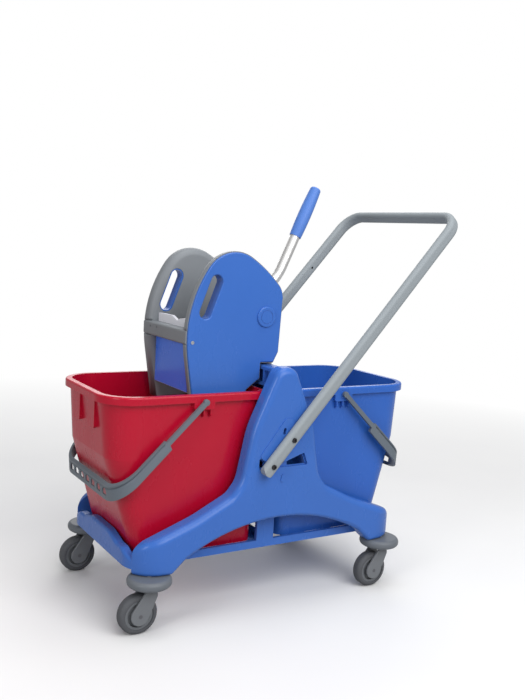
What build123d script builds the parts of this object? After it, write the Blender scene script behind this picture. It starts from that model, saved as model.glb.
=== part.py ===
from build123d import *
import math
import os

# Twin-bucket mop trolley with a lever wringer, in millimetres.
# Origin on the floor below the middle of the wheelbase. The red bucket is towards -X,
# the blue bucket and the push handle towards +X, and "near" pieces are on the -Y side.

# Casters
wheel_diameter = 76.0
tyre_width = 24.0
tyre_shoulder = 8.0
hub_radius = 28.0
hub_boss_radius = 10.0
hub_boss_half = 13.0
wheel_axle_radius = 4.0
fork_inner = 13.6
fork_leg = 4.4
fork_foot_radius = 18.0
fork_edge = 1.5
fork_top = 88.4
crown_radius = 20.0
crown_thickness = 4.8
stem_radius = 6.0
stem_top = 138.0
caster_x = 274.0
caster_y = 164.6
caster_trail = 22.5
bumper_diameter = 85.0
bumper_bottom = 89.0
bumper_edge = 8.0
running_gap = 0.05

# Chassis
foot_bottom = 107.0
frame_outer = 181.0
frame_inner = 148.0
frame_face = 8.0
recess_depth = 6.0
frame_edge_radius = 14.0
arch_edge_radius = 8.0
plan_half_length = 312.0
plan_corner = 64.0
tower_top = 491.0
arch_height = 189.0
arch_spring_x = 204.0
arch_spring_z = 134.0
rail_inner = 296.0
rail_bottom = 118.0
rail_hump = 162.0
rail_shoulder = 150.0
rail_end = 136.0
rail_edge = 6.0
tray_bottom = 117.0
tray_floor = 128.0
tray_rail_top = 132.0
tray_rail_outer = 142.0
tray_rail_inner = 134.0
rib = 8.0
post_left = -30.0
post_right = 10.0
post_lug_bottom = 190.0
post_top = 196.0
beam_half = 16.0
beam_bottom = 446.0
beam_top = 486.0
beam_pocket = 9.0

# Push handle, an inverted U of flat-oval tube that leans towards +X
arm_y = 192.0
arm_wide = 28.0
arm_thin = 18.0
tube_wall = 2.0
lower_bolt = (-36.5, 301.3)
handle_lean = 48.7
handle_reach = 673.5
handle_bend = 45.0
upper_bolt_at = 66.6
tube_start = -9.0
plug_radius = 14.3
bolt_radius = 3.0
bolt_head_radius = 5.0
bolt_head = 2.5
bolt_socket_radius = 2.9
nut_radius = 6.0
nut_height = 5.0
accessory_at = 499.4
accessory_radius = 3.0

# Buckets: sections of the wall as
# (height, outer end, inner end, half width, outer corner radius, inner corner radius)
bucket_sections = [
    (128.3, 284.0, 31.0, 125.0, 28.0, 20.0),
    (319.0, 341.0, 28.0, 133.0, 52.0, 24.0),
    (437.0, 350.0, 26.0, 137.0, 62.0, 26.0),
]
bucket_wall = 3.5
bucket_floor = 4.0
rim_end = 359.3
rim_inner_end = 18.0
rim_half_width = 145.5
rim_corner = 70.0
rim_inner_corner = 32.0
rim_bottom = 425.0
rim_top = 440.1
rim_edge = 4.0
end_tab_y = 39.5
end_tab_width = 35.0
end_tab_bottom = 368.0
end_tab_proud = 2.5
pivot_x = 164.7
pivot_z = 426.0
lug_face = 147.0
lug_pad = 22.0
lug_boss_radius = 8.0
lug_fin = 3.0
lug_fin_face = 144.0
lug_pitch = 15.0
lug_drop = 34.0
pivot_pin_radius = 4.0
pivot_pin_end = 139.0

# Bails
bail_y = 151.1
bail_thickness = 7.0
bail_width = 21.5
bail_top = 8.5
bail_neck = 9.0
bail_neck_end = 106.0
bail_reach = 240.0
bail_corner = 56.0
red_bail_rest = 44.0
blue_bail_rest = 43.0
bail_eye_radius = 6.0
bail_groove_width = 2.5
bail_groove_depth = 2.2
bail_tilt = 40.0
grip_hole_width = 13.0
grip_hole_height = 10.0
grip_hole_pitch = 30.0
grip_hole_count = 7

# Wringer
press_x = -13.0
press_z = 584.0
side_inner = 75.0
side_joint = 99.0
side_outer = 103.2
side_wall = 6.0
side_skin = 5.0
side_edge = 4.0
cover_inset = 2.0
cover_edge = 2.5
slot_low = (-150.0, 592.0)
slot_high = (-128.0, 652.0)
slot_radius = 13.0
slot_collar = 2.5
cap_radius = 21.0
cap_proud = 4.0
cap_groove_radius = 14.0
notch_x = -18.0
notch_z = 490.0
wringer_bottom = 396.0
bar_front = -189.0
bar_lap = -180.0
bar_bottom = 529.0
bar_top = 557.0
bar_holes = [(34.0, 548.5), (64.0, 547.5)]
bar_hole_radius = 1.8
panel_front = -170.0
panel_back = -166.0
panel_bottom = 432.0
jaw_back = -160.0
jaw_bottom = 430.0
jaw_top = 574.0
jaw_notch_y = -12.0
hook_top = 510.0
hook_gap = 0.4
hook_lip = 7.4
hook_lip_bottom = 477.0
hook_rib = 3.0
hook_rib_pitch = 12.5
screw_radius = 2.0
screw_head_radius = 3.5
screw_head = 1.3
screw_cross = 4.4
front_screw = (-176.0, 534.0)
hook_screw = (5.0, 500.0)

# Press lever and plate
axle_radius = 7.0
axle_half = 96.0
bush_radius = 11.0
bush_flange_radius = 14.0
bush_flange = 2.5
hub_radius_lever = 17.0
hub_half = 20.0
socket_radius = 15.0
socket_length = 60.0
lever_radius = 11.0
lever_wall = 1.5
lever_low_angle = 41.0
lever_high_angle = 66.0
lever_corner_at = 115.5
lever_bend = 110.0
lever_high_run = 202.0
grip_length = 117.0
grip_low_radius = 13.0
grip_mid_radius = 14.2
grip_top_radius = 12.0
press_front = -46.0
press_thickness = 6.0
press_half_width = 71.0
press_bottom = 430.0
press_top = 560.0
cheek_inner = 52.0
cheek_thickness = 6.0
press_rib = 8.0

# Torsion return springs round the press axle
spring_wire = 2.6
spring_radius = 13.0
spring_pitch = 3.6
spring_turns = 5
spring_start = 24.0
spring_fixed_leg = 80.0
spring_moving_leg = 21.0
peg_radius = 3.0
peg_rise = 17.0
peg_reach = 28.0

nodes = {}


def between_y(sketch, y_low, y_high):
    """Solid with an X-Z outline, between two Y planes."""
    return Pos(0, y_high, 0) * extrude(Plane.XZ * sketch, y_high - y_low)


def between_z(sketch, z_low, z_high):
    """Solid with an X-Y outline, between two heights."""
    return Pos(0, 0, z_low) * extrude(sketch, z_high - z_low)


def box_between(x_low, x_high, y_low, y_high, z_low, z_high):
    size = (x_high - x_low, y_high - y_low, z_high - z_low)
    middle = Pos((x_low + x_high) / 2, (y_low + y_high) / 2, (z_low + z_high) / 2)
    return middle * Box(*size)


def pin_y(radius, x, z, y_low, y_high):
    """Round pin along Y."""
    return between_y(Pos(x, z) * Circle(radius), y_low, y_high)


def pin_z(radius, x, y, z_low, z_high):
    """Round pin along Z."""
    return between_z(Pos(x, y) * Circle(radius), z_low, z_high)


def wheel_profile(*points):
    """Solid of revolution about Y from (radius, y) points."""
    return revolve(make_face(Polyline(*points, close=True)), Axis.Y)


def far_copy(shape):
    """The same piece on the +Y side."""
    return mirror(shape, Plane.XZ)


def red_copy(shape):
    """The same piece on the -X side."""
    return mirror(shape, Plane.YZ)


def add_pair(name, near):
    nodes[name + "_near"] = near
    nodes[name + "_far"] = far_copy(near)


# Casters

def caster_bumper():
    profile = Pos(bumper_diameter / 4, (bumper_bottom + foot_bottom) / 2) * Rectangle(
        bumper_diameter / 2, foot_bottom - bumper_bottom
    )
    rounded = fillet(profile.vertices().group_by(Axis.X)[-1], bumper_edge)
    disc = revolve(Plane.XZ * rounded, Axis.Z)
    return disc - pin_z(stem_radius + running_gap, 0, 0, bumper_bottom, foot_bottom)


def caster_fork():
    wheel_radius = wheel_diameter / 2
    crown_bottom = fork_top - crown_thickness
    crown = pin_z(crown_radius, 0, 0, crown_bottom, fork_top)
    shoulder = Pos(-2, fork_top - 13) * Circle(13)
    foot = Pos(-caster_trail, wheel_radius) * Circle(fork_foot_radius)
    leg = make_hull((shoulder + foot).edges())
    far_leg = between_y(leg, fork_inner, fork_inner + fork_leg)
    far_leg = fillet(far_leg.faces().sort_by(Axis.Y)[-1].edges(), fork_edge)
    fork = crown + far_leg + far_copy(far_leg)
    fork -= pin_z(stem_radius, 0, 0, crown_bottom, fork_top)
    reach = fork_inner + fork_leg
    return fork - pin_y(wheel_axle_radius, -caster_trail, wheel_radius, -reach, reach)


def caster_axle():
    """Pin pressed in flush with the fork."""
    reach = fork_inner + fork_leg
    return pin_y(wheel_axle_radius, 0, 0, -reach, reach)


def caster_hub():
    bore = wheel_axle_radius + running_gap
    rim_half = tyre_width / 2 - 2
    web_half = 4.5
    rim_inside = hub_radius - 5
    return wheel_profile(
        (bore, -hub_boss_half),
        (hub_boss_radius, -hub_boss_half),
        (hub_boss_radius, -web_half),
        (rim_inside, -web_half),
        (rim_inside, -rim_half),
        (hub_radius, -rim_half),
        (hub_radius, rim_half),
        (rim_inside, rim_half),
        (rim_inside, web_half),
        (hub_boss_radius, web_half),
        (hub_boss_radius, hub_boss_half),
        (bore, hub_boss_half),
    )


def caster_tyre():
    outer = wheel_diameter / 2
    section = Pos((hub_radius + outer) / 2, 0) * Rectangle(outer - hub_radius, tyre_width)
    rounded = fillet(section.vertices().group_by(Axis.X)[-1], tyre_shoulder)
    return revolve(rounded, Axis.Y)


wheel_height = wheel_diameter / 2
for end, end_sign in (("red", -1), ("blue", 1)):
    for side, side_sign in (("near", -1), ("far", 1)):
        name = "caster_" + end + "_" + side
        corner = Pos(end_sign * caster_x, side_sign * caster_y, 0)
        wheel_place = corner * Pos(-caster_trail, 0, wheel_height)
        nodes[name + "_bumper"] = corner * caster_bumper()
        nodes[name + "_stem"] = corner * pin_z(
            stem_radius, 0, 0, fork_top - crown_thickness, stem_top
        )
        nodes[name + "_fork"] = corner * caster_fork()
        nodes[name + "_axle"] = wheel_place * caster_axle()
        nodes[name + "_hub"] = wheel_place * caster_hub()
        nodes[name + "_tyre"] = wheel_place * caster_tyre()


# Chassis

def frame_outline():
    """Side frame seen from the side: ogive tower, sloping legs, feet and the arch below."""
    right = [
        (arch_spring_x, arch_spring_z),
        (234, foot_bottom),
        (plan_half_length, foot_bottom),
        (plan_half_length, 160),
        (186, 206),
        (112, 243),
        (92, 268),
        (72, 372),
        (20, tower_top),
    ]
    right_radii = [8, 3, 52, 250, 40, 60, 160, 26]
    left = [(-x, z) for x, z in reversed(right)]
    radii = right_radii + right_radii[::-1]
    upper = FilletPolyline(*right, *left, radius=radii)
    arch = ThreePointArc(left[-1], (0, arch_height), right[0])
    return make_face([*upper.edges(), arch])


def chassis_plan():
    """Prism with the rounded plan of the whole chassis."""
    plan = RectangleRounded(2 * plan_half_length, 2 * frame_outer, plan_corner)
    return between_z(plan, 0, tower_top + 10)


def is_crest(edge, bottom):
    """True for an edge that is not at the bottom, nor straight up or straight across."""
    start, finish = edge @ 0, edge @ 1
    rise = abs(finish.Z - start.Z)
    along = abs(finish.X - start.X)
    across = abs(finish.Y - start.Y)
    upright = along < 0.01 and across < 0.01
    level_across = along < 0.01 and rise < 0.01
    return edge.center().Z > bottom + 1 and not upright and not level_across


def is_arch(edge):
    """True for an edge of the arch between the feet."""
    middle = edge.center()
    return middle.Z < arch_height + 1 and abs(middle.X) < arch_spring_x + 32


def side_frame():
    outline = frame_outline()
    body = between_y(outline, -frame_outer, -frame_inner) & chassis_plan()
    outer_edges = [
        e for e in body.edges() if e.center().Y < -frame_inner - 1 and is_crest(e, foot_bottom)
    ]
    arch_edges = [e for e in outer_edges if is_arch(e)]
    upper_edges = [e for e in outer_edges if not is_arch(e)]
    body = fillet(upper_edges, frame_edge_radius)
    arch_edges = [
        e
        for e in body.edges()
        if e.center().Y < -frame_inner - 1 and is_crest(e, foot_bottom) and is_arch(e)
    ]
    body = fillet(arch_edges, arch_edge_radius)
    pocket = between_y(offset(outline, -frame_face), frame_face - frame_outer, -frame_inner)
    pocket &= box_between(-226, 226, -frame_outer, 0, 0, beam_bottom - 12)
    body -= pocket
    for x in (-caster_x, caster_x):
        body -= pin_z(stem_radius + running_gap, x, -caster_y, foot_bottom, stem_top + 2)
    body = tower_details(body)
    for x, z in bolt_places():
        body -= pin_y(bolt_radius, x, z, -frame_outer - 10, -frame_inner)
    return body


def bolt_places():
    lean = math.radians(handle_lean)
    upper = (
        lower_bolt[0] + upper_bolt_at * math.cos(lean),
        lower_bolt[1] + upper_bolt_at * math.sin(lean),
    )
    return [lower_bolt, upper]


def tower_details(body):
    """Fan-shaped seat of the handle, a recess with windows below it, a slot and a button."""
    seat_face = arm_y - arm_thin / 2
    seat = FilletPolyline(
        (-58, 318), (-2, 392), (14, 390), (48, 320), (4, 306), (-40, 306),
        radius=[6, 8, 8, 4, 30, 12],
        close=True,
    )
    body += between_y(make_face(seat), -seat_face, -frame_outer)
    recess = FilletPolyline(
        (-58, 293), (58, 293), (47, 319), (4, 304), (-40, 304), (-58, 317),
        radius=[3, 3, 3, 30, 12, 3],
        close=True,
    )
    body -= between_y(make_face(recess), -frame_outer - 5, -frame_outer + recess_depth)
    slot = Pos(-4, 366) * Rot(0, 0, 80) * SlotOverall(14, 6)
    right_window = Polyline((10, 295), (54, 295), (45, 316), (10, 303), close=True)
    left_window = Polyline((-57, 295), (-46, 295), (-46, 306), (-57, 314), close=True)
    for opening in (slot, make_face(right_window), make_face(left_window)):
        body -= between_y(opening, -frame_outer - 5, frame_face - frame_outer + 1)
    button = Pos(-1, 271) * Rot(0, 0, 80) * SlotOverall(17, 8)
    return body + between_y(button, -frame_outer - 1.5, -frame_outer)


def base_tray():
    """Open floor of ribs with low side rails, and posts with lugs that meet the side frames."""
    half = rail_inner
    outer = Rectangle(2 * half, 2 * tray_rail_outer)
    inner = Rectangle(2 * half - 2 * 14, 2 * tray_rail_inner)
    tray = between_z(outer - inner, tray_bottom, tray_rail_top)
    tray -= between_z(Rectangle(2 * half, 2 * tray_rail_inner), tray_floor, tray_rail_top)
    for y in (-66, 0, 66):
        tray += box_between(-half, half, y - rib / 2, y + rib / 2, tray_bottom, tray_floor)
    for x in (-235, -165, -95, 95, 165, 235):
        tray += box_between(
            x - rib / 2, x + rib / 2, -tray_rail_inner, tray_rail_inner, tray_bottom, tray_floor
        )
    tray += box_between(
        post_left, post_right, -tray_rail_outer, tray_rail_outer, tray_bottom, tray_rail_top
    )
    for side in (-1, 1):
        y_low, y_high = sorted((side * tray_rail_inner, side * tray_rail_outer))
        tray += box_between(post_left, post_right, y_low, y_high, tray_bottom, post_top)
        y_low, y_high = sorted((side * tray_rail_inner, side * frame_inner))
        tray += box_between(post_left, post_right, y_low, y_high, post_lug_bottom, post_top)
        for x_low, x_high in ((-half, -240), (240, half)):
            tray += box_between(x_low, x_high, y_low, y_high, tray_bottom, tray_rail_top)
    return tray


def end_rail():
    """Rail at the blue end, humped in the middle and flat below."""
    top = FilletPolyline(
        (-frame_inner, rail_bottom),
        (-frame_inner, rail_end),
        (-112, rail_shoulder),
        (-88, rail_shoulder),
        (-45, rail_hump),
        (45, rail_hump),
        (88, rail_shoulder),
        (112, rail_shoulder),
        (frame_inner, rail_end),
        (frame_inner, rail_bottom),
        radius=[0, 20, 30, 60, 60, 30, 20, 0],
    )
    foot = Line((frame_inner, rail_bottom), (-frame_inner, rail_bottom))
    face = Plane.YZ * make_face([*top.edges(), foot])
    rail = Pos(rail_inner, 0, 0) * extrude(face, plan_half_length - rail_inner)
    rail &= chassis_plan()
    crest = [e for e in rail.edges() if e.center().X > rail_inner + 1 and is_crest(e, rail_bottom)]
    return fillet(crest, rail_edge)


def cross_beam():
    """Beam between the tower tops, with ribbed pockets in its two faces."""
    beam = box_between(-beam_half, beam_half, -frame_inner, frame_inner, beam_bottom, beam_top)
    beam = fillet(beam.edges().filter_by(Axis.Y).group_by(Axis.Z)[-1], 4)
    cells = 8
    pitch = 2 * frame_inner / cells
    for cell in range(cells):
        y = -frame_inner + (cell + 0.5) * pitch
        for side in (-1, 1):
            x_low, x_high = sorted((side * (beam_half - beam_pocket), side * beam_half))
            beam -= box_between(
                x_low, x_high, y - pitch / 2 + 3, y + pitch / 2 - 3, beam_bottom + 6, beam_top - 8
            )
    return beam


add_pair("side_frame", side_frame())
nodes["base_tray"] = base_tray()
nodes["end_rail_blue"] = end_rail()
nodes["end_rail_red"] = red_copy(nodes["end_rail_blue"])
nodes["cross_beam"] = cross_beam()


# Push handle

lean_angle = math.radians(handle_lean)
arm_direction = Vector(math.cos(lean_angle), 0, math.sin(lean_angle))
arm_normal = Vector(-math.sin(lean_angle), 0, math.cos(lean_angle))
handle_plane = Plane(
    origin=(lower_bolt[0], 0, lower_bolt[1]), x_dir=arm_direction, z_dir=arm_normal
)


def on_handle(along, y):
    """Point on the handle's plane, given the distance along the arm from the lower bolt."""
    return handle_plane.from_local_coords(Vector(along, y, 0))


def arm_end_plane():
    """Plane across the lower end of the near arm's tube."""
    return Plane(origin=on_handle(tube_start, -arm_y), x_dir=arm_normal, z_dir=arm_direction)


def push_handle():
    """Bent tube with bolt holes in both arms and an accessory hole in the far arm."""
    path = handle_plane * FilletPolyline(
        (tube_start, -arm_y), (handle_reach, -arm_y), (handle_reach, arm_y), (tube_start, arm_y),
        radius=handle_bend,
    )
    outside = SlotOverall(arm_wide, arm_thin)
    inside = SlotOverall(arm_wide - 2 * tube_wall, arm_thin - 2 * tube_wall)
    tube = sweep(arm_end_plane() * (outside - inside), path)
    for x, z in bolt_places():
        tube -= pin_y(bolt_radius, x, z, -arm_y - arm_thin, arm_y + arm_thin)
    hole = on_handle(accessory_at, 0)
    return tube - pin_y(accessory_radius, hole.X, hole.Z, arm_y - arm_thin, arm_y + arm_thin)


def handle_end_plug():
    """Plug with a half-round end in the lower end of the near arm."""
    plane = arm_end_plane()
    inside = SlotOverall(arm_wide - 2 * tube_wall, arm_thin - 2 * tube_wall)
    spigot = extrude(plane * inside, -tube_start - bolt_radius - 1)
    dome = extrude(plane * SlotOverall(arm_wide, arm_thin), -arm_wide)
    centre = on_handle(tube_start + 1, 0)
    dome &= pin_y(plug_radius, centre.X, centre.Z, -arm_y - arm_thin, -arm_y + arm_thin)
    return dome + spigot


def handle_bolt(x, z):
    """Bolt with a hexagon socket outside the near arm and a nut inside the frame."""
    outer = -arm_y - arm_thin / 2
    inner = frame_face - frame_outer
    bolt = pin_y(bolt_radius, x, z, outer, inner + nut_height)
    head = pin_y(bolt_head_radius, x, z, outer - bolt_head, outer)
    head -= between_y(Pos(x, z) * RegularPolygon(bolt_socket_radius, 6), outer - bolt_head, outer - 0.7)
    nut = between_y(Pos(x, z) * RegularPolygon(nut_radius, 6), inner, inner + nut_height)
    return bolt + head + nut


nodes["push_handle"] = push_handle()
plug = handle_end_plug()
nodes["handle_end_plugs"] = plug + far_copy(plug)
bolts = Part() + [handle_bolt(x, z) for x, z in bolt_places()]
nodes["handle_bolts"] = bolts + far_copy(bolts)


# Buckets

def bucket_section(height, outer_end, inner_end, half_width, outer_corner, inner_corner, inset=0.0):
    """Level section, rounder at the outer end than at the inner end."""
    length = outer_end - inner_end - 2 * inset
    middle = (outer_end + inner_end) / 2
    section = Pos(middle, 0) * Rectangle(length, 2 * half_width - 2 * inset)
    section = fillet(section.vertices().group_by(Axis.X)[-1], outer_corner - inset)
    section = fillet(section.vertices().group_by(Axis.X)[0], inner_corner - inset)
    return Pos(0, 0, height) * section


def bucket_pivot():
    """Pad, boss and three fins under the near rim, where the bail turns."""
    wall = 132.0
    pad = Pos(pivot_x, rim_bottom - 4) * RectangleRounded(2 * lug_pad, 20, 5)
    body = between_y(pad, -rim_half_width, -wall)
    body += pin_y(lug_boss_radius, pivot_x, pivot_z, -lug_face, -wall)
    fin_outline = Polyline(
        (-lug_fin_face, rim_bottom),
        (-lug_fin_face, pivot_z - lug_drop + 8),
        (-wall, pivot_z - lug_drop),
        (-wall, rim_bottom),
        close=True,
    )
    fin = extrude(Plane.YZ * make_face(fin_outline), lug_fin)
    for step in (-1, 0, 1):
        body += Pos(pivot_x + step * lug_pitch - lug_fin / 2, 0, 0) * fin
    return body


def bucket():
    """Blue-side bucket: tapered shell with a folded rim, end tabs and bail pivots."""
    outside = loft([bucket_section(*s) for s in bucket_sections], ruled=True)
    rim_plan = bucket_section(
        0, rim_end, rim_inner_end, rim_half_width, rim_corner, rim_inner_corner
    )
    rim = between_z(rim_plan, rim_bottom, rim_top)
    rim = fillet(rim.faces().sort_by(Axis.Z)[-1].edges(), rim_edge)
    body = outside + rim
    pivot = bucket_pivot()
    body += pivot
    body += far_copy(pivot)
    pin_hole = pin_y(pivot_pin_radius + running_gap, pivot_x, pivot_z, -lug_face, -pivot_pin_end + 0.5)
    body -= pin_hole
    body -= far_copy(pin_hole)
    for y in (-end_tab_y, end_tab_y):
        half = end_tab_width / 2
        end = 349 + end_tab_proud
        tab = box_between(330, end, y - half, y + half, end_tab_bottom, rim_bottom + 1)
        body += fillet(tab.edges().filter_by(Axis.X).group_by(Axis.Z)[0], 6)
    floor_height = bucket_sections[0][0] + bucket_floor
    low, middle, high = bucket_sections
    share = bucket_floor / (middle[0] - low[0])
    floor_section = [a + (b - a) * share for a, b in zip(low, middle)]
    slope = (high[1] - middle[1]) / (high[0] - middle[0])
    above = rim_top + 1 - high[0]
    mouth = (rim_top + 1, high[1] + slope * above, *high[2:])
    cavity = loft(
        [bucket_section(*s, inset=bucket_wall) for s in (floor_section, middle, high, mouth)],
        ruled=True,
    )
    return body - cavity


nodes["blue_bucket"] = bucket()
nodes["red_bucket"] = red_copy(nodes["blue_bucket"])


# Bails

def bail_band(inner_shift, outer_shift):
    """Flat U-shaped band between two offsets from the bail's centre line, in its own plane."""
    def edge_at(shift):
        return FilletPolyline(
            (0, -bail_y - shift),
            (bail_reach + shift, -bail_y - shift),
            (bail_reach + shift, bail_y + shift),
            (0, bail_y + shift),
            radius=bail_corner + shift,
        )
    outer = edge_at(outer_shift)
    inner = edge_at(inner_shift)
    ends = [Line(outer @ 0, inner @ 0), Line(inner @ 1, outer @ 1)]
    return make_face([*outer.edges(), *inner.edges(), *ends])


def leaning(face, z_low, z_high):
    """Prism that leans back by the bail's tilt, so that the grip stands upright at rest."""
    tilt = math.radians(bail_tilt)
    lean = Vector(-math.sin(tilt), 0, math.cos(tilt))
    start = Pos(-z_low * math.tan(tilt), 0, z_low)
    return extrude(start * face, (z_high - z_low) / math.cos(tilt), dir=lean)


def bail(rest):
    """Blue-side bail with pins at its ends, made lying flat, then swung to rest."""
    half = bail_thickness / 2
    neck = bail_neck / 2
    low = bail_top - bail_width
    strap = leaning(bail_band(-half, half), low, bail_top)
    groove_top = bail_top - 3
    groove_band = bail_band(half - bail_groove_depth, half + 1)
    groove = leaning(groove_band, groove_top - bail_groove_width, groove_top)
    strap -= groove & box_between(bail_neck_end + 8, bail_reach + 40, -200, 200, -50, 50)
    above = Polyline(
        (-20, neck),
        (bail_neck_end, neck),
        (bail_neck_end + 4, 2 * bail_top),
        (-20, 2 * bail_top),
        close=True,
    )
    below = Polyline(
        (-20, -neck),
        (bail_neck_end, -neck),
        (bail_neck_end + 7, 2 * low),
        (-20, 2 * low),
        close=True,
    )
    for trim in (above, below):
        strap -= between_y(make_face(trim), -2 * bail_y, 2 * bail_y)
    eye = between_y(Circle(bail_eye_radius), -bail_y - half, -bail_y + half)
    eye += pin_y(pivot_pin_radius, 0, 0, -bail_y, -pivot_pin_end)
    strap += eye
    strap += far_copy(eye)
    hole_z = (low + bail_top) / 2
    hole_x = bail_reach - hole_z * math.tan(math.radians(bail_tilt))
    for number in range(grip_hole_count):
        y = (number - (grip_hole_count - 1) / 2) * grip_hole_pitch
        hole = Rot(0, -bail_tilt, 0) * Box(4 * half, grip_hole_width, grip_hole_height)
        strap -= Pos(hole_x, y, hole_z) * hole
    return Pos(pivot_x, 0, pivot_z) * Rot(0, rest, 0) * strap


nodes["blue_bail"] = bail(blue_bail_rest)
nodes["red_bail"] = red_copy(bail(red_bail_rest))


# Return springs

def spring_point(turns):
    angle = math.pi + 2 * math.pi * turns
    return Vector(
        press_x + spring_radius * math.cos(angle),
        -spring_start - spring_pitch * turns,
        press_z + spring_radius * math.sin(angle),
    )


def spring_heading(turns):
    angle = math.pi + 2 * math.pi * turns
    speed = 2 * math.pi * spring_radius
    return Vector(-speed * math.sin(angle), -spring_pitch, speed * math.cos(angle)).normalized()


def biarc(start, start_heading, finish, finish_heading):
    """Two arcs that leave and arrive along the given headings."""
    chord = finish - start
    total = start_heading + finish_heading
    a = 2 * (1 - start_heading.dot(finish_heading))
    b = 2 * chord.dot(total)
    reach = (-b + math.sqrt(b * b + 4 * a * chord.dot(chord))) / (2 * a)
    first = start + start_heading * reach
    second = finish - finish_heading * reach
    middle = (first + second) / 2
    return [
        TangentArc(start, middle, tangent=start_heading),
        TangentArc(middle, finish, tangent=second - first),
    ]


def spring_route():
    """Leg on the hub, half-turn biarcs round the axle, and a leg down to the hook bar."""
    edges = []
    first = spring_point(0)
    edges.append(Line(first - spring_heading(0) * spring_moving_leg, first))
    for half in range(2 * spring_turns):
        here, there = half / 2, (half + 1) / 2
        edges += biarc(
            spring_point(here), spring_heading(here), spring_point(there), spring_heading(there)
        )
    last = spring_point(spring_turns)
    edges.append(Line(last, last + spring_heading(spring_turns) * spring_fixed_leg))
    return edges


def return_spring():
    route = Wire(spring_route())
    section = Plane(origin=route @ 0, z_dir=route % 0) * RegularPolygon(spring_wire / 2, 8)
    return sweep(section, route)


def spring_self_gap():
    """Least gap between parts of the wire at least half a turn apart, measured on points."""
    points = []
    for edge in spring_route():
        points += [edge @ (step / 8) for step in range(8)]
    half_turn = 16
    least = min(
        (a - b).length for i, a in enumerate(points) for b in points[i + half_turn:]
    )
    return least - spring_wire


add_pair("return_spring", return_spring())
print("least gap between spring turns", round(spring_self_gap(), 2), "mm")


# Wringer

def wringer_outline():
    """Side of the wringer: domed top, sloping front edge, notch that sits over the cross beam."""
    front = Line((-168, wringer_bottom), (-185, 500))
    rise = TangentArc((-185, 500), (-146, 680), tangent=front % 1)
    dome = TangentArc((-146, 680), (-50, 702), tangent=rise % 1)
    fall = TangentArc((-50, 702), (16, 649), tangent=dome % 1)
    shoulder = TangentArc((16, 649), (27, 622), tangent=fall % 1)
    back = Polyline(
        (27, 622),
        (23, 512),
        (12, notch_z),
        (notch_x, notch_z),
        (notch_x, 458),
        (-48, 436),
        (-66, wringer_bottom),
        (-168, wringer_bottom),
    )
    return make_face([front, rise, dome, fall, shoulder, *back.edges()])


def grip_slot(radius):
    low = Vector(*slot_low)
    high = Vector(*slot_high)
    middle = (low + high) / 2
    span = high - low
    turn = math.degrees(math.atan2(span.Y, span.X))
    return Pos(middle.X, middle.Y) * Rot(0, 0, turn) * SlotCenterToCenter(span.length, 2 * radius)


def wringer_side():
    """Thick grey side, hollow behind its cover, with bosses at the slot, axle and front bar."""
    outline = wringer_outline()
    body = between_y(outline, -side_joint, -side_inner)
    body = fillet(body.faces().sort_by(Axis.Y)[-1].edges(), side_edge)
    hollow = offset(outline, -side_wall)
    hollow -= grip_slot(slot_radius + slot_collar + 4)
    hollow -= Pos(press_x, press_z) * Circle(bush_radius + 5)
    hollow -= Pos(bar_lap, (bar_bottom + bar_top) / 2) * Rectangle(20, bar_top - bar_bottom + 10)
    body -= between_y(hollow, -side_joint, -side_inner - side_skin)
    body -= between_y(grip_slot(slot_radius + slot_collar + 0.1), -side_joint, -side_inner)
    body -= pin_y(bush_radius, press_x, press_z, -side_joint, -side_inner)
    body -= bar_ends()
    for x, z in (front_screw, hook_screw):
        body -= pin_y(screw_radius, x, z, -side_joint, -side_inner)
    return body


def wringer_cover():
    """Thin blue cover with a rounded edge and a collar through the grip slot."""
    outline = offset(wringer_outline(), -cover_inset)
    body = between_y(outline, -side_outer, -side_joint)
    body -= between_y(grip_slot(slot_radius), -side_outer, -side_joint)
    body = fillet(body.faces().sort_by(Axis.Y)[0].edges(), cover_edge)
    collar = grip_slot(slot_radius + slot_collar) - grip_slot(slot_radius)
    body += between_y(collar, -side_joint, -side_inner - 1)
    x, z = front_screw
    return body - pin_y(screw_radius, x, z, -side_outer, -side_joint)


def axle_cap():
    """Round cap with a shallow ring groove."""
    face = -side_outer - cap_proud
    cap = pin_y(cap_radius, press_x, press_z, face, -side_outer)
    cap = fillet(cap.faces().sort_by(Axis.Y)[0].edges(), 2.5)
    ring = Circle(cap_groove_radius) - Circle(cap_groove_radius - 1.2)
    return cap - between_y(Pos(press_x, press_z) * ring, face, face + 0.8)


def front_bar():
    """Bar across the front, whose ends lap over the front edges of the side plates."""
    bar = box_between(bar_front, panel_back, -side_inner, side_inner, bar_bottom, bar_top)
    bar += bar_ends()
    bar = fillet(bar.edges().filter_by(Axis.Y).group_by(Axis.X)[0], 4)
    x, z = front_screw
    for side in (-1, 1):
        y_low, y_high = sorted((side * (side_inner - 18), side * side_inner))
        bar -= pin_y(screw_radius, x, z, y_low, y_high)
    for y, z in bar_holes:
        bar -= Plane(origin=(bar_front, y, z), z_dir=(1, 0, 0)) * Cylinder(bar_hole_radius, 10)
    return bar


def bar_ends():
    return box_between(bar_front, bar_lap, -side_joint, side_joint, bar_bottom, bar_top)


def front_panel():
    return box_between(
        panel_front, panel_back, -side_inner, side_inner, panel_bottom, bar_bottom
    )


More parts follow.
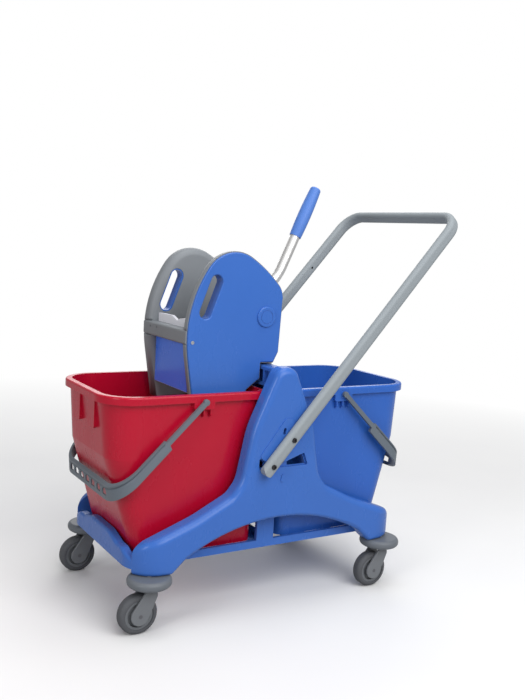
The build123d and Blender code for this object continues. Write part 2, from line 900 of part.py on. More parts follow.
def jaw_plate():
    """Pale fixed jaw: wavy top edge with a notch, upright drain slots below."""
    top = FilletPolyline(
        (-side_inner, jaw_bottom),
        (-side_inner, jaw_top),
        (jaw_notch_y - 26, jaw_top),
        (jaw_notch_y - 12, jaw_top - 2),
        (jaw_notch_y, jaw_top - 7),
        (jaw_notch_y + 24, jaw_top + 1),
        (side_inner, jaw_top),
        (side_inner, jaw_bottom),
        radius=[0, 8, 6, 5, 16, 0],
    )
    foot = Line((side_inner, jaw_bottom), (-side_inner, jaw_bottom))
    face = Plane.YZ * make_face([*top.edges(), foot])
    return Pos(panel_back, 0, 0) * extrude(face, jaw_back - panel_back)


def hook_bar():
    """Grey bar that sits on the cross beam, with a ribbed lip behind the beam."""
    seat = beam_top + hook_gap
    lip_front = beam_half + hook_gap
    lip_back = lip_front + hook_lip
    profile = Polyline(
        (notch_x + 1, seat),
        (lip_front, seat),
        (lip_front, hook_lip_bottom),
        (lip_back, hook_lip_bottom),
        (lip_back, hook_top),
        (notch_x + 1, hook_top),
        close=True,
    )
    bar = between_y(make_face(profile), -side_inner, side_inner)
    count = int(2 * side_inner / hook_rib_pitch)
    for number in range(count):
        y = (number - (count - 1) / 2) * hook_rib_pitch
        half = hook_rib / 2
        bar += box_between(lip_back, lip_back + 4, y - half, y + half, hook_lip_bottom, hook_top - 4)
    tab = spring_tab()
    bar += tab
    bar += far_copy(tab)
    x, z = hook_screw
    for side in (-1, 1):
        y_low, y_high = sorted((side * (side_inner - 18), side * side_inner))
        bar -= pin_y(screw_radius, x, z, y_low, y_high)
    return bar


def spring_tab():
    """Tab in front of the hook bar with a hole for the fixed leg of the near spring."""
    leg_y = spring_point(spring_turns).Y - 3.4
    tab = box_between(-31, notch_x + 1, leg_y - 5, leg_y + 5, hook_top - 10, hook_top)
    leg_plane = Plane(origin=spring_point(spring_turns), z_dir=spring_heading(spring_turns))
    return tab - extrude(leg_plane * Circle(spring_wire / 2 + 0.1), spring_fixed_leg + 0.5)


def side_screw(place, seat):
    """Cross-head screw into the end of a cross bar, with its head on the given seat."""
    x, z = place
    shank = pin_y(screw_radius, x, z, -seat, -side_inner + 18)
    head = pin_y(screw_head_radius, x, z, -seat - screw_head, -seat)
    cross = Rectangle(screw_cross, 1) + Rectangle(1, screw_cross)
    head -= between_y(Pos(x, z) * Rot(0, 0, 20) * cross, -seat - screw_head, -seat - 0.5)
    return shank + head


def axle_bush():
    sleeve = pin_y(bush_radius, press_x, press_z, -side_joint, -side_inner)
    flange = pin_y(bush_flange_radius, press_x, press_z, -side_inner, -side_inner + bush_flange)
    bore_radius = axle_radius + running_gap
    bore = pin_y(bore_radius, press_x, press_z, -side_joint, -side_inner + bush_flange)
    return sleeve + flange - bore


add_pair("wringer_side", wringer_side())
add_pair("wringer_cover", wringer_cover())
add_pair("axle_cap", axle_cap())
nodes["wringer_front_bar"] = front_bar()
nodes["wringer_front_panel"] = front_panel()
nodes["wringer_jaw_plate"] = jaw_plate()
nodes["wringer_hook_bar"] = hook_bar()
bush = axle_bush()
nodes["axle_bushes"] = bush + far_copy(bush)
screws = side_screw(front_screw, side_outer) + side_screw(hook_screw, side_inner + side_skin)
nodes["wringer_screws"] = screws + far_copy(screws)


# Press lever and plate, which turn together on the press axle

def lever_direction(angle):
    turn = math.radians(angle)
    return Vector(math.cos(turn), 0, math.sin(turn))


axle_point = Vector(press_x, 0, press_z)
lever_low = lever_direction(lever_low_angle)
lever_high = lever_direction(lever_high_angle)
lever_start = axle_point + lever_low * hub_radius_lever
lever_corner = axle_point + lever_low * lever_corner_at
lever_end = lever_corner + lever_high * lever_high_run


def lever_tube():
    path = FilletPolyline(lever_start, lever_corner, lever_end, radius=lever_bend)
    section_plane = Plane(origin=lever_start, z_dir=lever_low)
    ring = Circle(lever_radius) - Circle(lever_radius - lever_wall)
    return sweep(section_plane * ring, path)


def lever_grip():
    """Tapered grip with a rounded end, pushed over the top of the tube."""
    overlap = grip_length - 12
    base = lever_end - lever_high * overlap
    tube_end = overlap + 0.2
    outline = Spline(
        (grip_low_radius, 0),
        (grip_mid_radius, 0.55 * grip_length),
        (grip_top_radius, grip_length - 5),
    )
    nose = ThreePointArc(
        (grip_top_radius, grip_length - 5),
        (grip_top_radius - 1.6, grip_length - 1.6),
        (grip_top_radius - 6, grip_length),
    )
    rest = Polyline(
        (grip_top_radius - 6, grip_length),
        (0, grip_length),
        (0, tube_end),
        (lever_radius, tube_end),
        (lever_radius, 0),
        (grip_low_radius, 0),
    )
    profile = make_face([outline, nose, *rest.edges()])
    grip = revolve(Plane.XZ * profile, Axis.Z)
    return Plane(origin=base, z_dir=lever_high) * grip


def lever_hub():
    """Boss on the axle with a socket for the tube, and ears with a peg for each spring."""
    barrel = pin_y(hub_radius_lever, press_x, press_z, -hub_half, hub_half)
    socket_plane = Plane(origin=axle_point, z_dir=lever_low)
    socket = extrude(socket_plane * Circle(socket_radius), socket_length)
    bore_plane = Plane(origin=lever_start, z_dir=lever_low)
    bore = extrude(bore_plane * Circle(lever_radius), socket_length)
    hub = barrel + socket - bore
    peg_x = press_x - spring_radius - spring_wire / 2 - peg_radius - running_gap
    peg_z = press_z + peg_rise
    ear_edges = (Pos(press_x, press_z) * Circle(12) + Pos(peg_x, peg_z) * Circle(6)).edges()
    ear = between_y(make_hull(ear_edges), 14, hub_half)
    ear += pin_y(peg_radius, peg_x, peg_z, hub_half, peg_reach)
    hub += ear
    hub += far_copy(ear)
    return hub - pin_y(axle_radius, press_x, press_z, -hub_half, hub_half)


def press_plate():
    """Slotted plate hung from the axle on two cheeks, ribbed behind."""
    back = press_front + press_thickness
    plate = box_between(
        press_front, back, -press_half_width, press_half_width, press_bottom, press_top
    )
    plate = fillet(plate.edges().filter_by(Axis.Y).group_by(Axis.Z)[0], 2.5)
    for y in (-44, -22, 0, 22, 44):
        plate -= Pos(press_front, y, (press_bottom + press_top) / 2) * Box(30, 7, 84)
    cheek_edge = make_hull(
        (
            Pos(press_x, press_z) * Circle(13)
            + Pos(back + 1, press_top - 10) * Rectangle(2, 20)
            + Pos(back + 1, press_bottom + 50) * Rectangle(2, 20)
        ).edges()
    )
    for side in (-1, 1):
        y_low, y_high = sorted((side * cheek_inner, side * (cheek_inner + cheek_thickness)))
        plate += between_y(cheek_edge, y_low, y_high)
    for z in (press_bottom + 8, press_top - 8):
        plate += box_between(
            back, back + press_rib, -cheek_inner, cheek_inner, z - 3, z + 3
        )
    reach = cheek_inner + cheek_thickness
    return plate - pin_y(axle_radius, press_x, press_z, -reach, reach)


nodes["press_axle"] = pin_y(axle_radius, press_x, press_z, -axle_half, axle_half)
nodes["lever_tube"] = lever_tube()
nodes["lever_grip"] = lever_grip()
nodes["lever_hub"] = lever_hub()
nodes["press_plate"] = press_plate()


os.makedirs("parts", exist_ok=True)
for name, shape in nodes.items():
    export_step(shape, os.path.join("parts", name + ".step"))
print(len(nodes), "nodes written")
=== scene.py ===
"""Looks of the mop bucket trolley: finishes, fine trim, floor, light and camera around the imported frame."""

import math

import bmesh
import bpy
from mathutils import Matrix, Vector


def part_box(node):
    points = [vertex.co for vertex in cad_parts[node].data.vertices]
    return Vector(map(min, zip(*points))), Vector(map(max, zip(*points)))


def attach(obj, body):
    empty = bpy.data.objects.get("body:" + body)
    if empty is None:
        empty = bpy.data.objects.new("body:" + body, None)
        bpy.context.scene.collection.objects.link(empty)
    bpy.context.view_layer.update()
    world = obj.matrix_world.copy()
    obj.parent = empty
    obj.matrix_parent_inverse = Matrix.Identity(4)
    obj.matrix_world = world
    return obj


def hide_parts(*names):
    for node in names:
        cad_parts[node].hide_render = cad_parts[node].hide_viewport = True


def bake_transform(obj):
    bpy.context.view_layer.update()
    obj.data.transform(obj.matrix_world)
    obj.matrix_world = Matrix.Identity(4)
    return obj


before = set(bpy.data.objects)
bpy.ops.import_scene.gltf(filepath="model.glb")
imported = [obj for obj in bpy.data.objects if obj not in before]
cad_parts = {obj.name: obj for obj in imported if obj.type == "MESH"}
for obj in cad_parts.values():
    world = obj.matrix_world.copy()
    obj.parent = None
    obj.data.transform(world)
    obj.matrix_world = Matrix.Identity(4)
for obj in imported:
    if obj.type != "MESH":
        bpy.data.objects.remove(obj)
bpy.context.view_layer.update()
scene = bpy.context.scene
scene.view_settings.view_transform = "Standard"


def add_object(name, data):
    """New object in the scene, for a mesh, a curve, a lamp or a camera."""
    added = bpy.data.objects.new(name, data)
    scene.collection.objects.link(added)
    return added


# Camera, solved from the photograph: degrees, metres, and pixels of a frame 700 pixels high
camera_heading = 32.0
camera_pitch = 7.3
camera_roll = 3.3
camera_place = (-0.9086, -1.5299, 0.7325)
focal_pixels = 841.0
frame_height = 700.0
sensor_size = 36.0


def make_camera():
    heading, pitch, roll = (math.radians(a) for a in (camera_heading, camera_pitch, camera_roll))
    forward = Vector(
        (math.sin(heading) * math.cos(pitch), math.cos(heading) * math.cos(pitch), -math.sin(pitch))
    )
    level = Vector((math.cos(heading), -math.sin(heading), 0.0))
    upright = level.cross(forward)
    right = math.cos(roll) * level + math.sin(roll) * upright
    up = math.cos(roll) * upright - math.sin(roll) * level
    data = bpy.data.cameras.new("photo_camera")
    data.sensor_width = sensor_size
    data.lens = focal_pixels / frame_height * sensor_size
    camera = add_object("photo_camera", data)
    turn = Matrix((right, up, -forward)).transposed().to_4x4()
    camera.matrix_world = Matrix.Translation(camera_place) @ turn
    scene.camera = camera


make_camera()


# Node helpers for the finishes: textures are placed in object space, in metres
plain_specular = 0.3
edge_samples = 4
edge_starts = 0.995
edge_is_full = 0.8

# Numbers of the colour sockets of a mix node, whose names it shares with other kinds of mix
mix_first = 6
mix_second = 7
mix_result = 2


class Finish:
    """One procedural material round a Principled shader."""

    def __init__(self, name, roughness, metallic=0.0):
        self.material = bpy.data.materials.new(name)
        self.material.use_nodes = True
        self.tree = self.material.node_tree
        self.shader = self.tree.nodes["Principled BSDF"]
        self.shader.inputs["Roughness"].default_value = roughness
        self.shader.inputs["Metallic"].default_value = metallic
        self.shader.inputs["Specular IOR Level"].default_value = plain_specular
        self.place = self.add("ShaderNodeTexCoord").outputs["Object"]

    def add(self, kind, **settings):
        node = self.tree.nodes.new(kind)
        for key, value in settings.items():
            setattr(node, key, value)
        return node

    def join(self, source, socket):
        self.tree.links.new(source, socket)

    def noise(self, scale, detail=2.0, roughness=0.5, stretch=None, turn=(0.0, 0.0, 0.0)):
        """Noise from 0 to 1; stretch gives each axis its own scale, after a turn in degrees."""
        node = self.add("ShaderNodeTexNoise")
        node.inputs["Scale"].default_value = scale
        node.inputs["Detail"].default_value = detail
        node.inputs["Roughness"].default_value = roughness
        place = self.place
        if stretch:
            turning = self.add("ShaderNodeMapping")
            turning.inputs["Rotation"].default_value = [math.radians(a) for a in turn]
            scaling = self.add("ShaderNodeMapping")
            scaling.inputs["Scale"].default_value = stretch
            self.join(place, turning.inputs["Vector"])
            self.join(turning.outputs["Vector"], scaling.inputs["Vector"])
            place = scaling.outputs["Vector"]
        self.join(place, node.inputs["Vector"])
        return node.outputs["Fac"]

    def remap(self, source, low, high, to_low, to_high):
        node = self.add("ShaderNodeMapRange")
        node.inputs["From Min"].default_value = low
        node.inputs["From Max"].default_value = high
        node.inputs["To Min"].default_value = to_low
        node.inputs["To Max"].default_value = to_high
        self.join(source, node.inputs["Value"])
        return node.outputs["Result"]

    def times(self, a, b):
        node = self.add("ShaderNodeMath", operation="MULTIPLY")
        self.join(a, node.inputs[0])
        self.join(b, node.inputs[1])
        return node.outputs[0]

    def blend(self, share, first, second):
        """Colour between two, each a socket or a plain colour."""
        node = self.add("ShaderNodeMix", data_type="RGBA")
        self.join(share, node.inputs["Factor"])
        for colour, socket in ((first, node.inputs[mix_first]), (second, node.inputs[mix_second])):
            if isinstance(colour, bpy.types.NodeSocket):
                self.join(colour, socket)
            else:
                socket.default_value = (*colour, 1.0)
        return node.outputs[mix_result]

    def edges(self, radius):
        """How much a surface point lies on an edge of about that radius, from 0 to 1."""
        rounded = self.add("ShaderNodeBevel", samples=edge_samples)
        rounded.inputs["Radius"].default_value = radius
        plain = self.add("ShaderNodeNewGeometry")
        dot = self.add("ShaderNodeVectorMath", operation="DOT_PRODUCT")
        self.join(rounded.outputs["Normal"], dot.inputs[0])
        self.join(plain.outputs["Normal"], dot.inputs[1])
        return self.remap(dot.outputs["Value"], edge_starts, edge_is_full, to_low=0.0, to_high=1.0)

    def bump(self, *layers):
        """Surface relief: each layer is a height from 0 to 1 and its depth in metres."""
        normal = None
        for height, depth in layers:
            node = self.add("ShaderNodeBump")
            node.inputs["Strength"].default_value = 1.0
            node.inputs["Distance"].default_value = depth
            self.join(height, node.inputs["Height"])
            if normal:
                self.join(normal, node.inputs["Normal"])
            normal = node.outputs["Normal"]
        self.join(normal, self.shader.inputs["Normal"])

    def colour(self, source):
        self.join(source, self.shader.inputs["Base Color"])

    def roughness(self, source, to_low, to_high):
        """Roughness between two values, led by a noise of which most lies between 0.3 and 0.7."""
        varied = self.remap(source, low=0.3, high=0.7, to_low=to_low, to_high=to_high)
        self.join(varied, self.shader.inputs["Roughness"])


def shade(colour, factor):
    return tuple(min(1.0, channel * factor) for channel in colour)


def moulded_plastic(name, colour, roughness=0.24):
    """Injection-moulded plastic: slow flow marks, fine grain, and edges a little paler, partly rubbed wear
    and partly a painted highlight.
    """
    rubbed_and_highlit_radius = 0.0012
    wear_and_painted_highlight = 0.15
    wave_depth = 0.0001
    grain_depth = 0.000002
    worn_and_highlit_share = 0.55
    worn_and_highlit_lift = 0.3
    worn_and_highlit_colour = tuple(worn_and_highlit_share * channel + worn_and_highlit_lift for channel in colour)
    finish = Finish(name, roughness)
    flow = finish.noise(scale=7.0, detail=3.0)
    tone = finish.blend(flow, shade(colour, 0.93), shade(colour, 1.06))
    specks = finish.remap(finish.noise(scale=420.0), low=0.35, high=0.7, to_low=0.0, to_high=0.05)
    tone = finish.blend(specks, tone, shade(colour, 0.86))
    patches = finish.remap(finish.noise(scale=30.0), low=0.35, high=0.7, to_low=0.0, to_high=1.0)
    # Paler edges: partly rubbed wear, partly a painted highlight standing in for light catching the edges
    edges = finish.remap(finish.edges(rubbed_and_highlit_radius), low=0.0, high=1.0, to_low=0.0, to_high=wear_and_painted_highlight)
    finish.colour(finish.blend(finish.times(patches, edges), tone, worn_and_highlit_colour))
    smears = finish.noise(scale=16.0, detail=4.0, roughness=0.6, stretch=(1.0, 1.0, 0.45))
    finish.roughness(smears, roughness - 0.06, roughness + 0.09)
    waves = finish.noise(scale=26.0, detail=1.0)
    grain = finish.noise(scale=900.0, detail=1.0)
    finish.bump((waves, wave_depth), (grain, grain_depth))
    return finish.material


def powder_coat(name, colour):
    """Baked powder paint on tube: orange-peel relief and small paler scuffs."""
    roughness = 0.52
    peel_depth = 0.000008
    grain_depth = 0.000003
    finish = Finish(name, roughness)
    clouds = finish.noise(scale=9.0, detail=3.0)
    tone = finish.blend(clouds, shade(colour, 0.95), shade(colour, 1.05))
    marks = finish.noise(scale=90.0, detail=4.0, roughness=0.7)
    scuffs = finish.remap(marks, low=0.66, high=0.76, to_low=0.0, to_high=0.12)
    finish.colour(finish.blend(scuffs, tone, shade(colour, 1.15)))
    finish.roughness(finish.noise(scale=40.0, detail=3.0), roughness - 0.05, roughness + 0.08)
    peel = finish.noise(scale=520.0, detail=1.0)
    grain = finish.noise(scale=1500.0, detail=1.0)
    finish.bump((peel, peel_depth), (grain, grain_depth))
    return finish.material


def bright_steel(name, turn):
    """Satin bright tube with faint drawing lines along it; turn lays them along the tube, in degrees."""
    dark_line = (0.74, 0.735, 0.73)
    pale_line = (0.79, 0.785, 0.78)
    line_depth = 0.000003
    finish = Finish(name, roughness=0.4, metallic=1.0)
    lines = finish.noise(scale=60.0, detail=1.0, stretch=(0.03, 3.0, 3.0), turn=(0.0, turn, 0.0))
    finish.colour(finish.blend(lines, dark_line, pale_line))
    finish.roughness(lines, to_low=0.38, to_high=0.43)
    finish.bump((lines, line_depth))
    return finish.material


def plated_steel(name, colour, roughness):
    """Zinc-plated steel: cloudy sheen and fine grain."""
    grain_depth = 0.00002
    finish = Finish(name, roughness, metallic=1.0)
    clouds = finish.noise(scale=110.0, detail=4.0, roughness=0.6)
    finish.colour(finish.blend(clouds, shade(colour, 0.82), shade(colour, 1.1)))
    finish.roughness(clouds, roughness - 0.08, roughness + 0.12)
    finish.bump((finish.noise(scale=1300.0), grain_depth))
    return finish.material


def rubber(name, colour):
    """Soft tyre rubber: matt, mottled, with a little dust."""
    dust_colour = (0.30, 0.29, 0.28)
    mottle_depth = 0.0001
    grain_depth = 0.00005
    finish = Finish(name, roughness=0.62)
    mottle = finish.noise(scale=55.0, detail=4.0, roughness=0.65)
    tone = finish.blend(mottle, shade(colour, 0.85), shade(colour, 1.12))
    specks = finish.noise(scale=240.0, detail=5.0, roughness=0.8)
    dust = finish.remap(specks, low=0.58, high=0.75, to_low=0.0, to_high=0.3)
    finish.colour(finish.blend(dust, tone, dust_colour))
    finish.roughness(mottle, to_low=0.55, to_high=0.74)
    grain = finish.noise(scale=1100.0, detail=3.0)
    finish.bump((mottle, mottle_depth), (grain, grain_depth))
    return finish.material


blue = moulded_plastic("blue_plastic_moulded", (0.043, 0.143, 0.500))
bucket_blue = moulded_plastic("bucket_blue_moulded", (0.030, 0.125, 0.500))
red = moulded_plastic("red_plastic_moulded", (0.450, 0.003, 0.024))
# Front panel: a lighter copy of the blue, painted light that makes up for the shade the recessed panel lies
# in
painted_lit_panel_blue = moulded_plastic("painted_lit_panel_blue_moulded", (0.070, 0.215, 0.940))
grip_blue = moulded_plastic("grip_blue_moulded", (0.090, 0.210, 0.600), roughness=0.4)
plate_grey = moulded_plastic("plate_grey_moulded", (0.215, 0.232, 0.252), roughness=0.45)
bail_grey = moulded_plastic("bail_grey_moulded", (0.130, 0.155, 0.185), roughness=0.4)
caster_grey = moulded_plastic("caster_grey_moulded", (0.138, 0.153, 0.174), roughness=0.42)
fork_grey = moulded_plastic("fork_grey_moulded", (0.165, 0.175, 0.190), roughness=0.4)
pale = moulded_plastic("pale_plastic_moulded", (0.80, 0.80, 0.86), roughness=0.4)
handle_paint = powder_coat("handle_powder_coat", (0.280, 0.312, 0.335))
tube_steel = bright_steel("lever_bright_steel", turn=55.0)
zinc = plated_steel("zinc_plated_steel", (0.48, 0.49, 0.52), roughness=0.42)
dull_zinc = plated_steel("dull_plated_steel", (0.17, 0.175, 0.19), roughness=0.5)
dark_zinc = plated_steel("dark_plated_steel", (0.06, 0.06, 0.065), roughness=0.45)
tyre = rubber("tyre_rubber_grey", (0.088, 0.092, 0.102))

# Finishes of the CAD nodes that stay in view
caster_names = [f"caster_{bucket}_{side}" for bucket in ("red", "blue") for side in ("near", "far")]
finishes = {
    blue: [
        "side_frame_near", "side_frame_far", "base_tray", "end_rail_blue", "end_rail_red", "cross_beam",
        "wringer_cover_near", "wringer_cover_far", "axle_cap_near", "axle_cap_far",
    ],
    bucket_blue: ["blue_bucket"],
    painted_lit_panel_blue: ["wringer_front_panel"],
    grip_blue: ["lever_grip"],
    red: ["red_bucket"],
    plate_grey: ["wringer_front_bar", "wringer_hook_bar", "lever_hub", "press_plate"],
    caster_grey: [name + "_bumper" for name in caster_names],
    fork_grey: [name + part for name in caster_names for part in ("_fork", "_hub")],
    pale: ["wringer_jaw_plate", "axle_bushes"],
    handle_paint: ["push_handle", "handle_end_plugs"],
    tube_steel: ["lever_tube"],
    zinc: ["press_axle", "wringer_screws", *[name + "_stem" for name in caster_names]],
    dull_zinc: [name + "_axle" for name in caster_names],
    dark_zinc: ["handle_bolts"],
    tyre: [name + "_tyre" for name in caster_names],
}


def dress_nodes():
    for material, names in finishes.items():
        for name in names:
            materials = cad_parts[name].data.materials
            materials.clear()
            materials.append(material)


dress_nodes()


# Return springs in round wire; sizes in metres, on the press axis
press_axis = Vector((-0.013, 0.0, 0.584))
spring_radius = 0.013
spring_wire = 0.0026
spring_pitch = 0.0036
spring_turns = 5
spring_start = 0.024
spring_fixed_leg = 0.080
spring_moving_leg = 0.021
points_per_turn = 32
wire_roundness = 3


def spring_route(side):
    """Points of the wire: leg on the hub, turns outward along Y, leg down to the hook bar."""
    def helix(turns):
        angle = math.pi + 2 * math.pi * turns
        across = Vector((math.cos(angle), 0.0, math.sin(angle))) * spring_radius
        return press_axis + across + Vector((0.0, side * (spring_start + spring_pitch * turns), 0.0))

    def heading(turns):
        small = 0.001
        return (helix(turns + small) - helix(turns - small)).normalized()

    count = spring_turns * points_per_turn
    turns = [helix(number / points_per_turn) for number in range(count + 1)]
    first = turns[0] - heading(0) * spring_moving_leg
    last = turns[-1] + heading(spring_turns) * spring_fixed_leg
    return [first, *turns, last]


def wire_mesh(name, points, radius):
    """Round wire along points, as a mesh with closed ends."""
    curve = bpy.data.curves.new(name, "CURVE")
    curve.dimensions = "3D"
    curve.bevel_depth = radius
    curve.bevel_resolution = wire_roundness
    curve.use_fill_caps = True
    spline = curve.splines.new("POLY")
    spline.points.add(len(points) - 1)
    for target, point in zip(spline.points, points):
        target.co = (*point, 1.0)
    holder = add_object(name, curve)
    shape = holder.evaluated_get(bpy.context.evaluated_depsgraph_get())
    mesh = bpy.data.meshes.new_from_object(shape)
    bpy.data.objects.remove(holder)
    for polygon in mesh.polygons:
        polygon.use_smooth = True
    return mesh


def make_spring(side, node):
    mesh = wire_mesh(node + "_wire", spring_route(side), spring_wire / 2)
    mesh.materials.append(zinc)
    spring = add_object(node + "_wire", mesh)
    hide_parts(node)
    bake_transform(spring)


make_spring(-1, "return_spring_near")
make_spring(1, "return_spring_far")


# Copies of CAD nodes that are cut further; metres, and degrees for the angle
same_point = 0.000001
cut_spare = 0.002  # how far a tool stands out of what it cuts
smooth_below = 35.0


def object_from(shape, name):
    """Object made of a bmesh, which is used up."""
    mesh = bpy.data.meshes.new(name)
    shape.to_mesh(mesh)
    shape.free()
    return add_object(name, mesh)


def apply_modifiers(holder):
    shape = holder.evaluated_get(bpy.context.evaluated_depsgraph_get())
    holder.data = bpy.data.meshes.new_from_object(shape)
    holder.modifiers.clear()


def cut_copy(node, piece, body, material, tools):
    """Copy of a CAD node with the tools cut out of it, which takes the node's place."""
    whole = bmesh.new()
    whole.from_mesh(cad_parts[node].data)
    bmesh.ops.remove_doubles(whole, verts=whole.verts, dist=same_point)
    copy = object_from(whole, piece)
    for tool in tools:
        cut = copy.modifiers.new(tool.name, "BOOLEAN")
        cut.operation = "DIFFERENCE"
        cut.object = tool
    apply_modifiers(copy)
    for tool in tools:
        bpy.data.objects.remove(tool)
    for polygon in copy.data.polygons:
        polygon.use_smooth = True
    copy.data.set_sharp_from_angle(angle=math.radians(smooth_below))
    even = copy.modifiers.new("flat_faces_stay_flat", "WEIGHTED_NORMAL")
    even.keep_sharp = True
    apply_modifiers(copy)
    copy.data.materials.clear()
    copy.data.materials.append(material)
    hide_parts(node)
    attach(copy, body)


# Bails with a thin web and wide holes in their grips; metres, and degrees that a strap leans off upright
grip_lean = {"red_bail": 4.0, "blue_bail": 3.0}
strap_height = 0.0281
strap_thickness = 0.0054
web_thickness = 0.0028
hole_width = 0.020
hole_height = 0.011
hole_depth = 3 * strap_thickness
hole_pitch = 0.030
hole_count = 7
hole_corner = 0.002
hole_corner_steps = 4
round_profile = 0.5
nearly_parallel = 0.99
pocket_width = 0.206
pocket_low = -0.0105
pocket_high = 0.006


def strap_place(node, outward):
    """Matrix of the strap's middle: X out of its outer face, Y along the grip, Z up the strap."""
    low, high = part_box(node)
    lean = math.radians(grip_lean[node])
    across = strap_thickness / 2 * math.cos(lean) + strap_height / 2 * math.sin(lean)
    rise = strap_height / 2 * math.cos(lean) + strap_thickness / 2 * math.sin(lean)
    x = high[0] - across if outward > 0 else low[0] + across
    out = Vector((outward * math.cos(lean), 0.0, -math.sin(lean)))
    up = Vector((outward * math.sin(lean), 0.0, math.cos(lean)))
    along = up.cross(out)
    turn = Matrix((out, along, up)).transposed().to_4x4()
    return Matrix.Translation((x, 0.0, low[2] + rise)) @ turn


def strap_cutter(name, place, blocks):
    """Blocks with rounded corners across the strap; each is its middle and its size."""
    shape = bmesh.new()
    for middle, size in blocks:
        block = place @ Matrix.Translation(middle) @ Matrix.Diagonal((*size, 1.0))
        bmesh.ops.create_cube(shape, matrix=block)
    through = place.to_3x3().col[0].normalized()
    corners = []
    for edge in shape.edges:
        direction = (edge.verts[1].co - edge.verts[0].co).normalized()
        if abs(direction.dot(through)) > nearly_parallel:
            corners.append(edge)
    bmesh.ops.bevel(
        shape, geom=corners, affect="EDGES",
        offset=hole_corner, segments=hole_corner_steps, profile=round_profile,
    )
    return object_from(shape, name)


def open_bail(node, outward):
    """Bail with a pocket behind its grip, which leaves a thin web, and wide holes through the web."""
    place = strap_place(node, outward)
    depth = strap_thickness - web_thickness + cut_spare
    behind = strap_thickness / 2 - web_thickness - depth / 2
    pocket_middle = (behind, 0.0, (pocket_low + pocket_high) / 2)
    pocket = [(pocket_middle, (depth, pocket_width, pocket_high - pocket_low))]
    places = [(number - (hole_count - 1) / 2) * hole_pitch for number in range(hole_count)]
    holes = [((0.0, y, 0.0), (hole_depth, hole_width, hole_height)) for y in places]
    tools = [strap_cutter(node + "_pocket", place, pocket), strap_cutter(node + "_holes", place, holes)]
    cut_copy(node, node + "_open", node, bail_grey, tools)


open_bail("red_bail", -1)
open_bail("blue_bail", 1)


# Wringer sides with slim rims: a wide inner rounding along the front and the dome; metres, points are x and z
rim_foot = Vector((-0.168, 0.396))
rim_front = Vector((-0.185, 0.500))
rim_bends = [Vector((-0.146, 0.680)), Vector((-0.050, 0.702)), Vector((0.016, 0.649))]
rim_rounding = 0.016
rim_end_rounding = 0.004
rim_lift = 0.00002  # keeps the tool off faces that it would only touch
arc_steps = 24
rounding_steps = 10


def rim_path():
    """Points along the outline, each with the direction of travel: a straight front, then tangent arcs."""
    along = (rim_front - rim_foot).normalized()
    path = [(rim_foot - along * rim_rounding, along)]
    place = rim_front
    for bend in rim_bends:
        chord = bend - place
        left = Vector((-along.y, along.x))
        half_turn = math.atan2(chord.dot(left), chord.dot(along))
        for step in range(arc_steps):
            part = half_turn * step / arc_steps
            reach = chord.length * math.sin(part) / math.sin(half_turn)
            point = place + reach * (math.cos(part) * along + math.sin(part) * left)
            path.append((point, math.cos(2 * part) * along + math.sin(2 * part) * left))
        along = math.cos(2 * half_turn) * along + math.sin(2 * half_turn) * left
        place = bend
    path.append((place, along))
    return path


def rounding_profile(radius):
    """Outline of what the rounding of an edge takes off: outward and inward distances from the edge."""
    profile = []
    for step in range(rounding_steps + 1):
        angle = math.pi / 2 * step / rounding_steps
        profile.append((radius * (math.cos(angle) - 1), radius * (math.sin(angle) - 1)))
    return profile + [(-radius, cut_spare), (cut_spare, cut_spare), (cut_spare, -radius)]


def rim_cutter(name, side, inner_y):
    """What the wide rounding takes off the inner edge; over the last arc it narrows to the CAD rounding."""
    shape = bmesh.new()
    rings = []
    path = rim_path()
    for number, (point, along) in enumerate(path):
        narrowing = max(0.0, (number - (len(path) - 1 - arc_steps)) / arc_steps)
        radius = rim_rounding + (rim_end_rounding - rim_rounding) * narrowing
        ring = []
        for out, inward in rounding_profile(radius):
            x = point.x - (out + rim_lift) * along.y
            z = point.y + (out + rim_lift) * along.x
            ring.append(shape.verts.new((x, inner_y - side * (inward + rim_lift), z)))
        rings.append(ring)
    for first, second in zip(rings, rings[1:]):
        for number in range(len(first)):
            shape.faces.new((first[number - 1], first[number], second[number], second[number - 1]))
    shape.faces.new(rings[0])
    shape.faces.new(rings[-1])
    bmesh.ops.recalc_face_normals(shape, faces=shape.faces)
    return object_from(shape, name)


def slim_side(node, side):
    low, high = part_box(node)
    inner_y = high[1] if side < 0 else low[1]
    tools = [rim_cutter(node + "_rounding", side, inner_y)]
    cut_copy(node, node + "_slim", "wringer", plate_grey, tools)


slim_side("wringer_side_near", -1)
slim_side("wringer_side_far", 1)


# Floor, world and lights; metres and watts
floor_half = 12.0
floor_tones = ((0.82, 0.82, 0.83), (0.86, 0.86, 0.86))
floor_bounce = (0.50, 0.50, 0.50)
shadow_reach = 1.1
white_from = 2.6
reflected_share = 0.25
ambient = 0.24
middle = (0.0, 0.0, 0.45)


def seen_by_eye(tree):
    """1 for what is seen straight on, a share of it in a reflection, 0 for the light on the object."""
    rays = tree.nodes.new("ShaderNodeLightPath").outputs
    seen = rays["Is Camera Ray"]
    for kind in ("Is Glossy Ray", "Is Transmission Ray"):
        added = tree.nodes.new("ShaderNodeMath")
        added.operation = "MULTIPLY_ADD"
        added.inputs[1].default_value = reflected_share
        tree.links.new(rays[kind], added.inputs[0])
        tree.links.new(seen, added.inputs[2])
        seen = added.outputs[0]
    return seen


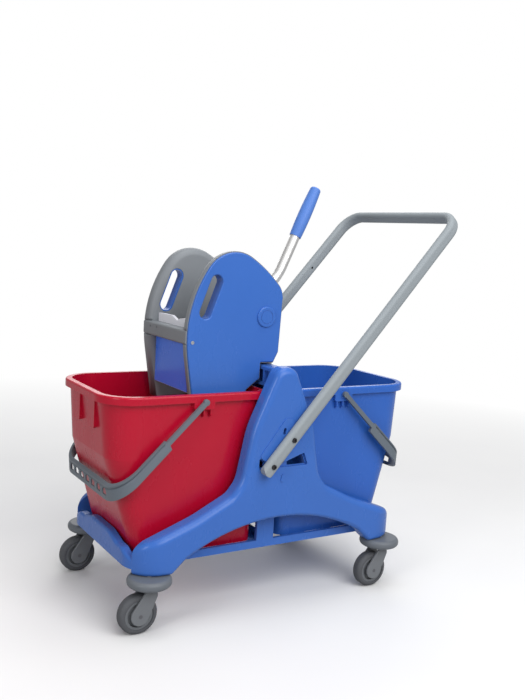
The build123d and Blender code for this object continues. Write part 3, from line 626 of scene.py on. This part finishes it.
def floor_finish():
    """Pale floor that keeps the shadow near the object and runs out to plain white.

    It throws back less light than it shows, as a floor in a large room would, and isn't sampled as a lamp,
    which keeps noise down.
    """
    finish = Finish("pale_floor", roughness=0.9)
    seen = finish.blend(finish.noise(scale=3.0, detail=3.0), *floor_tones)
    finish.colour(finish.blend(seen_by_eye(finish.tree), floor_bounce, seen))
    length = finish.add("ShaderNodeVectorMath", operation="LENGTH")
    finish.join(finish.place, length.inputs[0])
    far = finish.remap(length.outputs["Value"], shadow_reach, white_from, to_low=0.0, to_high=1.0)
    white = finish.add("ShaderNodeEmission")
    mix = finish.add("ShaderNodeMixShader")
    finish.join(finish.times(far, seen_by_eye(finish.tree)), mix.inputs["Fac"])
    finish.join(finish.shader.outputs["BSDF"], mix.inputs[1])
    finish.join(white.outputs["Emission"], mix.inputs[2])
    finish.join(mix.outputs["Shader"], finish.tree.nodes["Material Output"].inputs["Surface"])
    finish.material.cycles.emission_sampling = "NONE"
    return finish.material


def make_floor():
    mesh = bpy.data.meshes.new("floor")
    corners = [(x * floor_half, y * floor_half, 0.0) for x, y in ((-1, -1), (1, -1), (1, 1), (-1, 1))]
    mesh.from_pydata(corners, [], [(0, 1, 2, 3)])
    mesh.materials.append(floor_finish())
    floor = add_object("floor", mesh)


def make_world():
    """Even surround: white where it is seen, weak as light, and not sampled as a lamp."""
    world = bpy.data.worlds.new("studio")
    scene.world = world
    world.use_nodes = True
    world.cycles.sampling_method = "NONE"
    tree = world.node_tree
    background = tree.nodes["Background"]
    background.inputs["Color"].default_value = (1.0, 1.0, 1.0, 1.0)
    strength = tree.nodes.new("ShaderNodeMapRange")
    strength.inputs["To Min"].default_value = ambient
    strength.inputs["To Max"].default_value = 1.0
    tree.links.new(seen_by_eye(tree), strength.inputs["Value"])
    tree.links.new(strength.outputs["Result"], background.inputs["Strength"])


def softbox(name, place, target, width, height, power):
    data = bpy.data.lights.new(name, "AREA")
    data.shape = "RECTANGLE"
    data.size = width
    data.size_y = height
    data.energy = power
    lamp = add_object(name, data)
    lamp.location = place
    lamp.rotation_mode = "QUATERNION"
    lamp.rotation_quaternion = (Vector(target) - Vector(place)).to_track_quat("-Z", "Y")


make_floor()
make_world()
softbox("key_softbox", (0.2, -2.4, 2.2), target=(0.0, 0.0, 0.6), width=3.0, height=2.2, power=79.0)
softbox("left_softbox", (-2.4, -1.1, 1.2), target=(0.0, 0.0, 0.5), width=0.6, height=1.2, power=16.0)
softbox("top_softbox", (0.1, -0.2, 3.0), target=middle, width=2.2, height=1.6, power=34.0)
softbox("rear_softbox", (1.2, 2.8, 2.0), target=middle, width=2.8, height=2.2, power=36.0)
